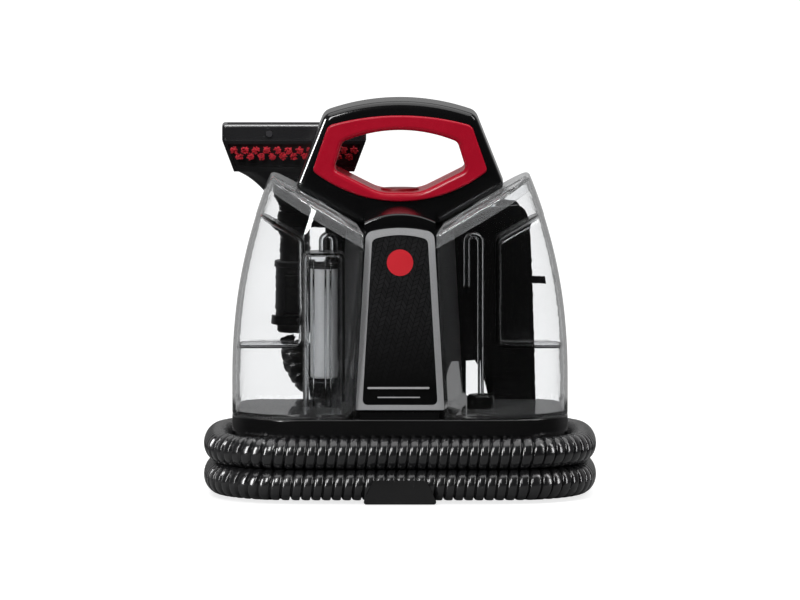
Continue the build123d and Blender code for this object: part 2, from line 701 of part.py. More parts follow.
with BuildPart() as clean_tank_lid:
    add(tank_block.part)
    split(bisect_by=LID_SEAM.offset(0.05), keep=Keep.TOP)
    add(tank_cavity.part, mode=Mode.SUBTRACT)
    with BuildSketch(LID_TOP):
        with Locations((FLAP_START + FLAP_LENGTH / 2, FLAP_Y)):
            Rectangle(FLAP_LENGTH + 0.8, FLAP_WIDTH + 0.8)
    extrude(amount=-1.8, mode=Mode.SUBTRACT)
    with BuildSketch(LID_TOP):
        with Locations((FLAP_START + FLAP_LENGTH / 2, FLAP_Y)):
            Rectangle(FLAP_LENGTH - 6, FLAP_WIDTH - 6)
    extrude(amount=-6, mode=Mode.SUBTRACT)

with BuildPart() as clean_fill_flap:
    with BuildSketch(LID_TOP):
        with Locations((FLAP_START + FLAP_LENGTH / 2, FLAP_Y)):
            RectangleRounded(FLAP_LENGTH, FLAP_WIDTH, 2)
    extrude(amount=-1.5)
    with BuildSketch(LID_TOP):
        with Locations((FLAP_START + FLAP_LENGTH - 3, FLAP_Y)):
            RectangleRounded(4, 16, 1.5)
    extrude(amount=1.6)

with BuildPart() as clean_tank_shell:
    add(tank_blank.part)
    with BuildSketch(Plane.XY.offset(TANK_LOW)):
        with Locations((VALVE_X, VALVE_Y)):
            Circle(3.2)
    extrude(amount=WALL, mode=Mode.SUBTRACT)

with BuildPart() as clean_valve_housing:
    with BuildSketch(Plane.XY.offset(TANK_LOW + WALL)):
        with Locations((VALVE_X, VALVE_Y)):
            Circle(11)
            Circle(3.2, mode=Mode.SUBTRACT)
    extrude(amount=11)
    fillet(clean_valve_housing.edges().group_by(Axis.Z)[-1].sort_by(SortBy.LENGTH)[-1], 3)
    with BuildSketch(Plane.XY.offset(74)):
        with Locations((VALVE_X, VALVE_Y)):
            Circle(6)
    extrude(amount=5, mode=Mode.SUBTRACT)

with BuildPart() as clean_valve_poppet:
    with BuildSketch(Plane.XY.offset(62.5)):
        with Locations((VALVE_X, VALVE_Y)):
            Circle(2.7)
    extrude(amount=12)
    with BuildSketch(Plane.XY.offset(74.3)):
        with Locations((VALVE_X, VALVE_Y)):
            Circle(5)
    extrude(amount=1.4)

with BuildPart() as clean_vent_tube:
    with BuildLine() as tube_line:
        Line((VALVE_X, VALVE_Y - 6, 80.5), (VALVE_X, VALVE_Y - 6, 203))
        ThreePointArc(
            (VALVE_X, VALVE_Y - 6, 203),
            (VALVE_X - 5.5, VALVE_Y - 6, 208.5),
            (VALVE_X - 11, VALVE_Y - 6, 203),
        )
        Line((VALVE_X - 11, VALVE_Y - 6, 203), (VALVE_X - 11, VALVE_Y - 6, 167.5))
    sweep(sections=pipe_section(tube_line.line, 2.5, 1.5), path=tube_line.line)

with BuildPart() as recovery_tank_shell:
    mirror(tank_blank.part, about=Plane.YZ)
    with BuildSketch(Plane.XY.offset(TANK_LOW)):
        with Locations((STACK_X, STACK_Y + 9), (STACK_X, STACK_Y - 9)):
            Circle(6)
    extrude(amount=WALL, mode=Mode.SUBTRACT)

with BuildPart() as recovery_tank_lid:
    mirror(clean_tank_lid.part, about=Plane.YZ)

with BuildPart() as recovery_drain_flap:
    mirror(clean_fill_flap.part, about=Plane.YZ)

with BuildPart() as recovery_stack:
    with BuildSketch(Plane.XY.offset(TANK_LOW + WALL)):
        with Locations((STACK_X, STACK_Y)):
            RectangleRounded(STACK_W, STACK_D, 6)
    extrude(amount=STACK_TOP - TANK_LOW - WALL)
    fillet(recovery_stack.edges().group_by(Axis.Z)[-1], 5)
    offset(amount=-2, openings=recovery_stack.faces().sort_by(Axis.Z)[0])
    with BuildSketch(Plane.XY.offset(88)):
        with Locations((STACK_X, STACK_Y)):
            Rectangle(STACK_W - 3, 4)
    extrude(amount=3.7)
    with BuildSketch(Plane.XY.offset(STACK_TOP)):
        with Locations((-62, STACK_Y), (-53, STACK_Y)):
            Circle(2)
    extrude(amount=-5, mode=Mode.SUBTRACT)
    mirror(tank_hollow.part, about=Plane.YZ, mode=Mode.INTERSECT)

with BuildPart() as recovery_elbow:
    with BuildLine() as tube_line:
        Line((-62, STACK_Y, STACK_TOP), (-62, STACK_Y, 201.5))
        ThreePointArc((-62, STACK_Y, 201.5), (-57.5, STACK_Y, 206), (-53, STACK_Y, 201.5))
        Line((-53, STACK_Y, 201.5), (-53, STACK_Y, STACK_TOP))
    sweep(sections=pipe_section(tube_line.line, 3, 2), path=tube_line.line)

with BuildPart() as float_body:
    with BuildSketch(Plane.XY.offset(92)):
        with Locations((STACK_X, STACK_Y)):
            Circle(11)
    extrude(amount=88)
    fillet(float_body.edges().group_by(Axis.Z)[0], 2)

with BuildPart() as float_seal:
    with BuildSketch(Plane.XY.offset(180)):
        with Locations((STACK_X, STACK_Y)):
            Circle(12)
    extrude(amount=4)

# ---------------------------------------------------------------- cord storage at the back right
with BuildPart() as cord_wrap_panel:
    with BuildSketch(Plane.XZ.offset(-PANEL_FRONT)):
        with BuildLine():
            Line((HOUSING_HALF_HIGH, HOUSING_STEP), (HOUSING_HALF_HIGH, 222))
            Line((HOUSING_HALF_HIGH, 222), (96, 225))
            ThreePointArc((96, 225), (103, 221), (106, 212))
            Line((106, 212), (110, DECK_TOP))
            Line((110, DECK_TOP), (71, DECK_TOP))
            ThreePointArc((71, DECK_TOP), (67.5, 84), (HOUSING_HALF_HIGH, HOUSING_STEP))
        make_face()
    extrude(amount=-(PANEL_BACK - PANEL_FRONT))
    with BuildSketch(Plane.XZ.offset(-PANEL_FRONT - 1)):
        with Locations((113, 164.8)):
            Rectangle(13, 5.6)
    extrude(amount=-6)
    with BuildSketch(Plane.XZ.offset(-PANEL_BACK)):
        with Locations((HOOK_X, 108)):
            Circle(6)
    extrude(amount=PANEL_BACK + HOOK_PLATE - HOOK_END)
    with BuildSketch(Plane.XZ.offset(-HOOK_END + HOOK_PLATE)):
        with Locations((HOOK_X, 102)):
            RectangleRounded(22, 28, 5)
    extrude(amount=-HOOK_PLATE)
    with BuildSketch(Plane.XZ.offset(-PANEL_BACK)):
        with Locations((HOOK_X, HOOK_Z)):
            Circle(3.05)
    extrude(amount=6, mode=Mode.SUBTRACT)

with BuildPart() as cord_hook_upper:
    with BuildSketch(Plane.XZ.offset(-PANEL_BACK + 5.5)):
        with Locations((HOOK_X, HOOK_Z)):
            Circle(3)
    extrude(amount=-5.5 - GAP)
    with BuildSketch(Plane.XZ.offset(-PANEL_BACK - GAP)):
        with Locations((HOOK_X, HOOK_Z)):
            Circle(6)
    extrude(amount=PANEL_BACK + GAP + HOOK_PLATE - HOOK_END)
    with BuildSketch(Plane.XZ.offset(-HOOK_END + HOOK_PLATE)):
        with Locations((HOOK_X, HOOK_Z + 6)):
            RectangleRounded(22, 28, 5)
    extrude(amount=-HOOK_PLATE)

# ---------------------------------------------------------------- wand and tool
def wand_clip(z, height, radius, reach_y):
    """U-shaped cradle, open to the back, on an arm from the rear housing's left side."""
    with BuildPart() as clip:
        with BuildSketch(Plane.XY.offset(z)):
            with Locations((WAND_X, WAND_Y)):
                Circle(radius + 3.4)
            with Locations((WAND_X, WAND_Y)):
                Rectangle(
                    2 * radius + 8,
                    radius + 8,
                    align=(Align.CENTER, Align.MIN),
                    mode=Mode.SUBTRACT,
                )
            with Locations((-60, reach_y)):
                Rectangle(-60 - WAND_X, 8, align=(Align.MAX, Align.CENTER))
            with Locations((WAND_X, WAND_Y)):
                Circle(radius + GAP, mode=Mode.SUBTRACT)
        extrude(amount=height)
    return clip.part


with BuildPart() as wand_clip_upper:
    add(wand_clip(206, 12, WAND_R, 69))

with BuildPart() as wand_clip_lower:
    add(wand_clip(127, 7, GRIP_R, 69))

with BuildPart() as wand_tube:
    with BuildSketch(Plane.XY.offset(GRIP_HIGH)):
        with Locations((WAND_X, WAND_Y)):
            Circle(WAND_R)
            Circle(WAND_R - 2, mode=Mode.SUBTRACT)
    extrude(amount=WAND_HIGH - GRIP_HIGH)
    with BuildSketch(Plane.XY.offset(GRIP_HIGH)):
        with Locations((WAND_X, WAND_Y)):
            Circle(GRIP_R + 1.2)
            Circle(WAND_R - 2, mode=Mode.SUBTRACT)
    extrude(amount=5)
    chamfer(wand_tube.edges().filter_by(GeomType.CIRCLE).filter_by(lambda e: e.radius > GRIP_R), 0.8)

with BuildPart() as wand_grip:
    with BuildSketch(Plane.XY.offset(GRIP_LOW)):
        with Locations((WAND_X, WAND_Y)):
            Circle(GRIP_R)
    extrude(amount=GRIP_HIGH - GRIP_LOW)
    with BuildSketch(Plane.XY.offset(GRIP_LOW)):
        with Locations((WAND_X, WAND_Y + 3)):
            Circle(9)
    extrude(amount=GRIP_HIGH - GRIP_LOW, mode=Mode.SUBTRACT)
    with BuildSketch(Plane.XY.offset(135)):
        with Locations((WAND_X, WAND_Y - GRIP_R)):
            Rectangle(17, 13)
    extrude(amount=34, mode=Mode.SUBTRACT)

with BuildPart() as spray_trigger:
    with BuildSketch(Plane.YZ.offset(WAND_X - 8)):
        with BuildLine():
            Polyline((62.5, 137.5), (66.5, 137.5), (68, 166), (62, 168), (60.5, 158), close=True)
        make_face()
    extrude(amount=16)
    fillet(spray_trigger.edges().filter_by(Axis.X).sort_by(Axis.Y)[:2], 1.2)

with BuildPart() as hose_cuff:
    with BuildSketch(Plane.XY.offset(120)):
        with Locations((WAND_X, WAND_Y)):
            Circle(14.5)
            Circle(9, mode=Mode.SUBTRACT)
    extrude(amount=GRIP_LOW - 120)
    fillet(hose_cuff.edges().group_by(Axis.Z)[0].sort_by(SortBy.LENGTH)[-1], 2)


def tool_section(z, half_x, half_y, inset):
    """Section of the tool's flared neck."""
    with BuildSketch(Plane.XY.offset(z)) as section:
        with Locations((WAND_X, TOOL_MID_Y)):
            corner = min(half_x, half_y) - inset
            RectangleRounded(2 * (half_x - inset) + 0.02, 2 * (half_y - inset) + 0.01, corner - 0.5)
    return section.sketch


with BuildPart() as tool_neck:
    loft(
        sections=[
            tool_section(224, 16.0, 15.4, 0),
            tool_section(237, 27.0, 16.0, 0),
            tool_section(246, 38.0, 16.6, 0),
            tool_section(TOOL_LOW, TOOL_HALF_LOW, 17.0, 0),
        ]
    )

with BuildPart() as tool_throat:
    loft(
        sections=[
            tool_section(WAND_HIGH + 1, 27.0, 16.0, 2.5),
            tool_section(TOOL_LOW + 1, TOOL_HALF_LOW, 17.0, 5),
        ]
    )

with BuildPart() as tool_body:
    add(tool_neck.part)
    with BuildSketch(Plane.XZ.offset(-TOOL_BACK)):
        with BuildLine():
            Polyline(
                (WAND_X - TOOL_HALF_LOW, TOOL_LOW),
                (WAND_X + TOOL_HALF_LOW, TOOL_LOW),
                (WAND_X + TOOL_HALF_HIGH, TOOL_FRAME_Z),
                (WAND_X - TOOL_HALF_HIGH, TOOL_FRAME_Z),
                close=True,
            )
        make_face()
    extrude(amount=TOOL_BACK - TOOL_FRONT)
    add(tool_throat.part, mode=Mode.SUBTRACT)
    with BuildSketch(Plane.XY.offset(TOOL_LOW + 1)):
        with Locations((WAND_X, TOOL_MID_Y)):
            Rectangle(2 * TOOL_HALF_LOW - 10, 14)
    extrude(amount=30, mode=Mode.SUBTRACT)
    with BuildSketch(Plane.XY.offset(219)):
        with Locations((WAND_X, WAND_Y)):
            Circle(15.2)
    extrude(amount=6)
    with BuildSketch(Plane.XY.offset(219)):
        with Locations((WAND_X, WAND_Y)):
            Circle(WAND_R + 0.08)
    extrude(amount=WAND_HIGH + 1 - 219, mode=Mode.SUBTRACT)
    with BuildSketch(Plane.XZ.offset(-TOOL_FRONT)):
        with BuildLine():
            Polyline(
                (WAND_X - 47.5, 255),
                (WAND_X + 47.5, 255),
                (WAND_X + 53.5, 273),
                (WAND_X - 53.5, 273),
                close=True,
            )
        make_face()
    extrude(amount=-4, mode=Mode.SUBTRACT)

with BuildPart() as tool_lip:
    with BuildSketch(Plane.XY.offset(TOOL_FRAME_Z)):
        with Locations((WAND_X, TOOL_MID_Y)):
            RectangleRounded(2 * TOOL_HALF_HIGH + 0.6, 24, 3)
    extrude(amount=TOOL_TOP - TOOL_FRAME_Z)
    fillet(tool_lip.edges().group_by(Axis.Z)[-1], 2.5)
    with BuildSketch(Plane.XY.offset(TOOL_FRAME_Z)):
        with Locations((WAND_X, TOOL_MID_Y)):
            Rectangle(2 * TOOL_HALF_HIGH - 8, 12)
    extrude(amount=20, mode=Mode.SUBTRACT)
    with BuildSketch(Plane.XZ.offset(-TOOL_MID_Y + 12)):
        with Locations((WAND_X - 20, 281), (WAND_X + 20, 281)):
            Circle(1.6)
    extrude(amount=-6, mode=Mode.SUBTRACT)

with BuildPart() as tool_screws:
    with BuildSketch(Plane.XZ.offset(-TOOL_MID_Y + 12)):
        with Locations((WAND_X - 20, 281), (WAND_X + 20, 281)):
            Circle(2.6)
    extrude(amount=1)
    with BuildSketch(Plane.XZ.offset(-TOOL_MID_Y + 12)):
        with Locations((WAND_X - 20, 281), (WAND_X + 20, 281)):
            Circle(1.5)
    extrude(amount=-5.5)

with BuildPart() as tool_bristles:
    with BuildSketch(Plane.XZ.offset(-TOOL_FRONT - 4)):
        with BuildLine():
            Polyline(
                (WAND_X - 47.2, 255.2),
                (WAND_X + 47.2, 255.2),
                (WAND_X + 53.1, 272.8),
                (WAND_X - 53.1, 272.8),
                close=True,
            )
        make_face()
    extrude(amount=3)
    with BuildSketch(Plane.XZ.offset(-TOOL_FRONT - 1)):
        with Locations((WAND_X, 266.5)):
            with GridLocations(TUFT_PITCH, 0, 12, 1):
                Circle(TUFT_R)
        with Locations((WAND_X, 260.5)):
            with GridLocations(TUFT_PITCH, 0, 11, 1):
                Circle(TUFT_R)
    extrude(amount=8)

with BuildPart() as spray_nozzle:
    with BuildSketch(Plane.XZ.offset(-TOOL_FRONT - 3)):
        with Locations((WAND_X, 242.5)):
            RectangleRounded(12, 9, 2)
    extrude(amount=8)
    with BuildSketch(Plane.XZ.offset(-TOOL_FRONT + 5)):
        with Locations((WAND_X, 242.5)):
            Circle(2.5)
    extrude(amount=1.5)

# ---------------------------------------------------------------- hose
with BuildPart() as coil_turn:
    with BuildSketch(Plane.XY.offset(COIL_LOW - HOSE_D / 2)):
        RectangleRounded(
            2 * COIL_HALF_X + HOSE_D, 2 * COIL_HALF_Y + HOSE_D, COIL_CORNER + HOSE_D / 2
        )
        RectangleRounded(
            2 * COIL_HALF_X - HOSE_D,
            2 * COIL_HALF_Y - HOSE_D,
            COIL_CORNER - HOSE_D / 2,
            mode=Mode.SUBTRACT,
        )
    extrude(amount=HOSE_D)
    fillet(coil_turn.edges().group_by(Axis.Z)[0], HOSE_D / 2 - 0.2)
    fillet(coil_turn.edges().group_by(Axis.Z)[-1], HOSE_D / 2 - 0.2)

with BuildPart() as hose_coil:
    add(coil_turn.part)
    with Locations((0, 0, COIL_HIGH - COIL_LOW)):
        add(coil_turn.part)

# Third pass across the back, rising over the second into the bottom of the wand.
RISER_ROUTE = (
    (64, 89, 44.7),
    (24, 89, 53.2),
    (-20, 89, 63.2),
    (-62.7, 88.5, 73.5),
    (-77, 86.5, 85),
    (WAND_X, WAND_Y, 102),
    (WAND_X, WAND_Y, 119.7),
)


def corner_radii(route):
    """Arc at each corner: 0.45 of its shorter run over the tangent of half the turn."""
    radii = []
    for before, corner, after in zip(route, route[1:], route[2:]):
        arriving, leaving = Vector(corner) - Vector(before), Vector(after) - Vector(corner)
        half_turn = radians(arriving.get_angle(leaving)) / 2
        radii.append(0.45 * min(arriving.length, leaving.length) / tan(half_turn))
    return radii


with BuildPart() as hose_riser:
    with BuildLine() as riser_line:
        FilletPolyline(*RISER_ROUTE, radius=corner_radii(RISER_ROUTE))
    sweep(sections=pipe_section(riser_line.line, HOSE_D / 2, 0), path=riser_line.line)

print("riser radii, mm:", [round(r, 1) for r in corner_radii(RISER_ROUTE)])
riser_length = riser_line.wires()[0].length
print("riser length, mm:", round(riser_length, 1))
print("riser volume over section times length:",
      round(hose_riser.part.volume / (riser_length * pi * HOSE_D**2 / 4), 4))

# ---------------------------------------------------------------- write the pieces
PIECES = {
    "base_pan": base_pan,
    "base_deck": base_deck,
    "rubber_feet": rubber_feet,
    "hose_cradle": hose_cradle,
    "front_cover": front_cover,
    "front_bezel": front_bezel,
    "label_panel": label_panel,
    "rear_housing": rear_housing,
    "exhaust_grille": exhaust_grille,
    "cord_gland": cord_gland,
    "handle_front_shell": handle_front_shell,
    "handle_rear_shell": handle_rear_shell,
    "handle_grip": handle_grip,
    "housing_screws": housing_screws,
    "power_button": power_button,
    "power_switch": power_switch,
    "motor_mount": motor_mount,
    "motor_can": motor_can,
    "motor_stator": motor_stator,
    "motor_bearings": motor_bearings,
    "motor_armature": motor_armature,
    "motor_shaft": motor_shaft,
    "fan_impeller": fan_impeller,
    "fan_housing": fan_housing,
    "pump_body": pump_body,
    "suction_duct": suction_duct,
    "recovery_duct": recovery_duct,
    "water_line_feed": water_line_feed,
    "water_line_spray": water_line_spray,
    "recovery_seat": recovery_seat,
    "clean_seat": clean_seat,
    "hose_port": hose_port,
    "clean_tank_shell": clean_tank_shell,
    "clean_tank_lid": clean_tank_lid,
    "clean_fill_flap": clean_fill_flap,
    "clean_vent_tube": clean_vent_tube,
    "clean_valve_housing": clean_valve_housing,
    "clean_valve_poppet": clean_valve_poppet,
    "recovery_tank_shell": recovery_tank_shell,
    "recovery_tank_lid": recovery_tank_lid,
    "recovery_drain_flap": recovery_drain_flap,
    "recovery_stack": recovery_stack,
    "recovery_elbow": recovery_elbow,
    "float_body": float_body,
    "float_seal": float_seal,
    "cord_wrap_panel": cord_wrap_panel,
    "cord_hook_upper": cord_hook_upper,
    "wand_clip_upper": wand_clip_upper,
    "wand_clip_lower": wand_clip_lower,
    "wand_tube": wand_tube,
    "wand_grip": wand_grip,
    "hose_cuff": hose_cuff,
    "spray_trigger": spray_trigger,
    "tool_body": tool_body,
    "tool_lip": tool_lip,
    "tool_screws": tool_screws,
    "tool_bristles": tool_bristles,
    "spray_nozzle": spray_nozzle,
    "hose_coil": hose_coil,
    "hose_riser": hose_riser,
}

os.makedirs("parts", exist_ok=True)
for name, piece in PIECES.items():
    piece.part.label = name
    export_step(piece.part, f"parts/{name}.step")
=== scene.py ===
"""Looks of the portable spot extractor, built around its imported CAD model.

Metres, +Z up, front at -Y. The CAD nodes keep their places: this script gives them materials
and softened edges, and adds the corrugated hose, the brush tufts, the marks on the label, and
the ribs and beads of the tanks.
"""

import json
import math
import random

import bpy
import numpy as np
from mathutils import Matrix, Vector


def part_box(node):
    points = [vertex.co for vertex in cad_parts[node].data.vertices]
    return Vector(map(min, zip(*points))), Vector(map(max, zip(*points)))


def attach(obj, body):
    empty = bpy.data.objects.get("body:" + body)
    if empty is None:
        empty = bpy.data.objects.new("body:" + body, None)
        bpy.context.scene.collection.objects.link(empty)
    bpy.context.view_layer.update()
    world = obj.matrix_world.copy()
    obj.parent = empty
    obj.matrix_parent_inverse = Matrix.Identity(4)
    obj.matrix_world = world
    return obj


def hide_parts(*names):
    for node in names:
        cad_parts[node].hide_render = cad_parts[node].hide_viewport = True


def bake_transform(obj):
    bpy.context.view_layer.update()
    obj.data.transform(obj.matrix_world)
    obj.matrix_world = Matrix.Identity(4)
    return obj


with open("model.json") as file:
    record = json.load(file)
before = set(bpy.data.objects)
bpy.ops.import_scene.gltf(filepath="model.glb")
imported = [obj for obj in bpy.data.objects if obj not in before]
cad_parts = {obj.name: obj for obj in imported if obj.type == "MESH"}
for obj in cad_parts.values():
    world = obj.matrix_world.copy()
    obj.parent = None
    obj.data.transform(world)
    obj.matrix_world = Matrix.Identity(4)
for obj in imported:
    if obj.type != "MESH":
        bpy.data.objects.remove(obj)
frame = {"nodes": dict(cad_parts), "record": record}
NODES = frame["nodes"]
SLOT_OF = {part["node"]: part["material_slot"] for part in frame["record"]["subparts"]}
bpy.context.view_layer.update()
random.seed(7)

# ---------------------------------------------------------------- camera
CAMERA_DISTANCE = 16.0
CAMERA_ELEVATION = math.radians(5.7)
SENSOR_WIDTH = 36  # millimetres
PICTURE_WIDTH = 0.640  # what the picture's width takes in at the object
FAR_ENOUGH = 50
AIM = Vector((0, 0, 0.154))

camera_data = bpy.data.cameras.new("camera")
camera_data.sensor_width = SENSOR_WIDTH
camera_data.lens = SENSOR_WIDTH * CAMERA_DISTANCE / PICTURE_WIDTH
camera_data.clip_end = FAR_ENOUGH
camera = bpy.data.objects.new("camera", camera_data)
bpy.context.scene.collection.objects.link(camera)
toward_camera = Vector((0, -math.cos(CAMERA_ELEVATION), math.sin(CAMERA_ELEVATION)))
camera.location = AIM + toward_camera * CAMERA_DISTANCE
camera.rotation_euler = (-toward_camera).to_track_quat("-Z", "Y").to_euler()
bpy.context.scene.camera = camera


# ---------------------------------------------------------------- making pieces
def new_piece(name, vertices, faces, smooth=True):
    """A mesh object in the row frame."""
    mesh = bpy.data.meshes.new(name)
    mesh.from_pydata(vertices, [], faces)
    mesh.validate()
    if smooth:
        mesh.polygons.foreach_set("use_smooth", [True] * len(mesh.polygons))
    piece = bpy.data.objects.new(name, mesh)
    bpy.context.scene.collection.objects.link(piece)
    return piece


def circle(radius, centre=(0, 0), step_degrees=5):
    """Points of a circle in a plane, as pairs."""
    points = []
    for step in range(0, 360, step_degrees):
        angle = math.radians(step)
        points.append((centre[0] + radius * math.cos(angle), centre[1] + radius * math.sin(angle)))
    return points


def add_node(tree, kind, **settings):
    """A node with its settings, in any tree."""
    node = tree.nodes.new(kind)
    for key, value in settings.items():
        setattr(node, key, value)
    return node


def spline_points(control_points, steps=12):
    """Points along the smooth NURBS curve that control_points pull on."""
    curve = bpy.data.curves.new("route", "CURVE")
    curve.dimensions = "3D"
    curve.resolution_u = steps
    spline = curve.splines.new("NURBS")
    spline.points.add(len(control_points) - 1)
    for point, place in zip(spline.points, control_points):
        point.co = (*place, 1)
    spline.order_u = 3
    spline.use_endpoint_u = True
    holder = bpy.data.objects.new("route", curve)
    mesh = bpy.data.meshes.new_from_object(holder)
    points = [vertex.co.copy() for vertex in mesh.vertices]
    bpy.data.objects.remove(holder)
    bpy.data.meshes.remove(mesh)
    bpy.data.curves.remove(curve)
    return points


class Path:
    """A centreline with its length and a frame that turns as little as it can."""

    def __init__(self, points):
        self.points = np.array([tuple(p) for p in points])
        steps = np.linalg.norm(np.diff(self.points, axis=0), axis=1)
        self.along = np.concatenate([[0], np.cumsum(steps)])
        self.length = self.along[-1]
        tangents = np.gradient(self.points, self.along, axis=0)
        self.tangents = tangents / np.linalg.norm(tangents, axis=1)[:, None]
        side = np.cross(self.tangents[0], (0, 0, 1))
        sides = []
        for tangent in self.tangents:
            side = side - tangent * (side @ tangent)
            side = side / np.linalg.norm(side)
            sides.append(side)
        self.sides = np.array(sides)

    def _read(self, values, distances):
        return np.stack([np.interp(distances, self.along, values[:, k]) for k in range(3)], axis=-1)

    def rings(self, distances, angles, radii):
        """Points round the centreline, one for each distance, angle and radius."""
        centre = self._read(self.points, distances)
        tangent = self._read(self.tangents, distances)
        side = self._read(self.sides, distances)
        side = side / np.linalg.norm(side, axis=-1, keepdims=True)
        up = np.cross(side, tangent)
        around = side * np.cos(angles)[..., None] + up * np.sin(angles)[..., None]
        return centre + around * radii[..., None]


# ---------------------------------------------------------------- suction hose
HOSE_D = 0.025
HOSE_CORNER = 0.060  # radius of the hose's line round the base's corners
CORNER_POINTS = 4
FRONT_RUN = 0.028  # half of the straight stretch along the front
PORT_RUN = 0.012  # straight out of the port
RIB_PITCH = 0.0081
HOSE_SEGMENTS = 36
CLIMB_TO_SECOND_TURN = ((0.064, 0.0197), (0.024, 0.0282), (-0.020, 0.0382))  # x, z at the back
RISER = (
    (0.064, 0.089, 0.0447),
    (0.024, 0.089, 0.0532),
    (-0.020, 0.089, 0.0632),
    (-0.0627, 0.0885, 0.0735),
    (-0.077, 0.0865, 0.085),
    (-0.085, 0.084, 0.102),
    (-0.085, 0.084, 0.1197),
)


def hose_route():
    """Two turns round the base from the port at the back, then up into the wand."""
    low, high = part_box("hose_coil")
    half_x, half_y = high.x - HOSE_D / 2, high.y - HOSE_D / 2
    first_z, second_z = low.z + HOSE_D / 2, high.z - HOSE_D / 2
    centre_x, centre_y = half_x - HOSE_CORNER, half_y - HOSE_CORNER
    port_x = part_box("hose_port")[0].x
    corner_step = math.radians(90 / CORNER_POINTS)
    reach = HOSE_CORNER / math.cos(corner_step / 2)

    def turn(z):
        points = []
        for corner, (sign_x, sign_y) in enumerate(((-1, 1), (-1, -1), (1, -1), (1, 1))):
            for step in range(CORNER_POINTS):
                angle = math.radians(90 + 90 * corner) + corner_step * (step + 0.5)
                x = sign_x * centre_x + reach * math.cos(angle)
                y = sign_y * centre_y + reach * math.sin(angle)
                points.append((x, y, z))
            if corner == 1:
                points += [(-FRONT_RUN, -half_y, z), (FRONT_RUN, -half_y, z)]
        return points

    start = [(port_x, half_y, first_z), (port_x - PORT_RUN, half_y, first_z)]
    climb = [(x, half_y, z) for x, z in CLIMB_TO_SECOND_TURN]
    return start + turn(first_z) + climb + turn(second_z) + list(RISER)


RIB_PROFILE = (  # share of the pitch, radius in millimetres
    (0.00, 9.8),
    (0.08, 9.8),
    (0.11, 11.1),
    (0.20, 11.9),
    (0.32, 12.35),
    (0.46, 12.5),
    (0.82, 12.5),
    (0.93, 12.2),
)


def corrugated_tube(name, path, pitch, segments):
    """A hose whose ribs wind round it as one shallow screw thread."""
    pitches = int(path.length / pitch)
    starts = np.array([k + share for k in range(pitches) for share, _ in RIB_PROFILE]) * pitch
    radii = np.array([radius for _ in range(pitches) for _, radius in RIB_PROFILE]) / 1000
    turns = np.arange(segments) / segments
    distances = np.clip(starts[:, None] + turns[None, :] * pitch, 0, path.length)
    angles = np.broadcast_to(turns * 2 * math.pi, distances.shape)
    grid = path.rings(distances, angles, np.broadcast_to(radii[:, None], distances.shape))
    shift = len(RIB_PROFILE)
    rows = len(starts)
    faces = []
    for row in range(rows - shift - 1):
        for segment in range(segments):
            after = (segment + 1) % segments
            jump = shift if after == 0 else 0
            near, far = row * segments, (row + 1) * segments
            faces.append(
                (
                    near + segment,
                    near + after + jump * segments,
                    far + after + jump * segments,
                    far + segment,
                )
            )
    return new_piece(name, grid.reshape(-1, 3).tolist(), faces)


hose_path = Path(spline_points(hose_route()))
hose = corrugated_tube("suction_hose", hose_path, RIB_PITCH, HOSE_SEGMENTS)
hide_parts("hose_coil", "hose_riser")
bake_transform(hose)


# ---------------------------------------------------------------- materials
# Noise scales are features in a metre, and depths are metres.
CLOUD_SCALE = 28
CLOUD_GLOSS, GRAIN_GLOSS = 0.12, 0.10  # how far clouds and grain change the roughness
PLASTIC_IOR = 1.5
EDGE_START, EDGE_END = 0.80, 0.99  # turned away from view, where clear plastic is painted grey as the light and shade of its edge lines
# How clear the plastic stays under its painted edge grey.
EDGE_CLEARNESS = 0.35
TINT_SCALE, HAZE_SCALE, WAVE_SCALE = 18, 60, 22
WAVE_STRENGTH = 0.25
FLAKE_SCALE = 5200
FLAKE_TONES = ((0.34, 0.342, 0.349), (0.44, 0.442, 0.449))
FLAKE_ROUGHNESS = (0.26, 0.34)
DRAWN_SCALE = 90
FILM_SCALE = 300
FILM_ROUGHNESS = (0.34, 0.42)


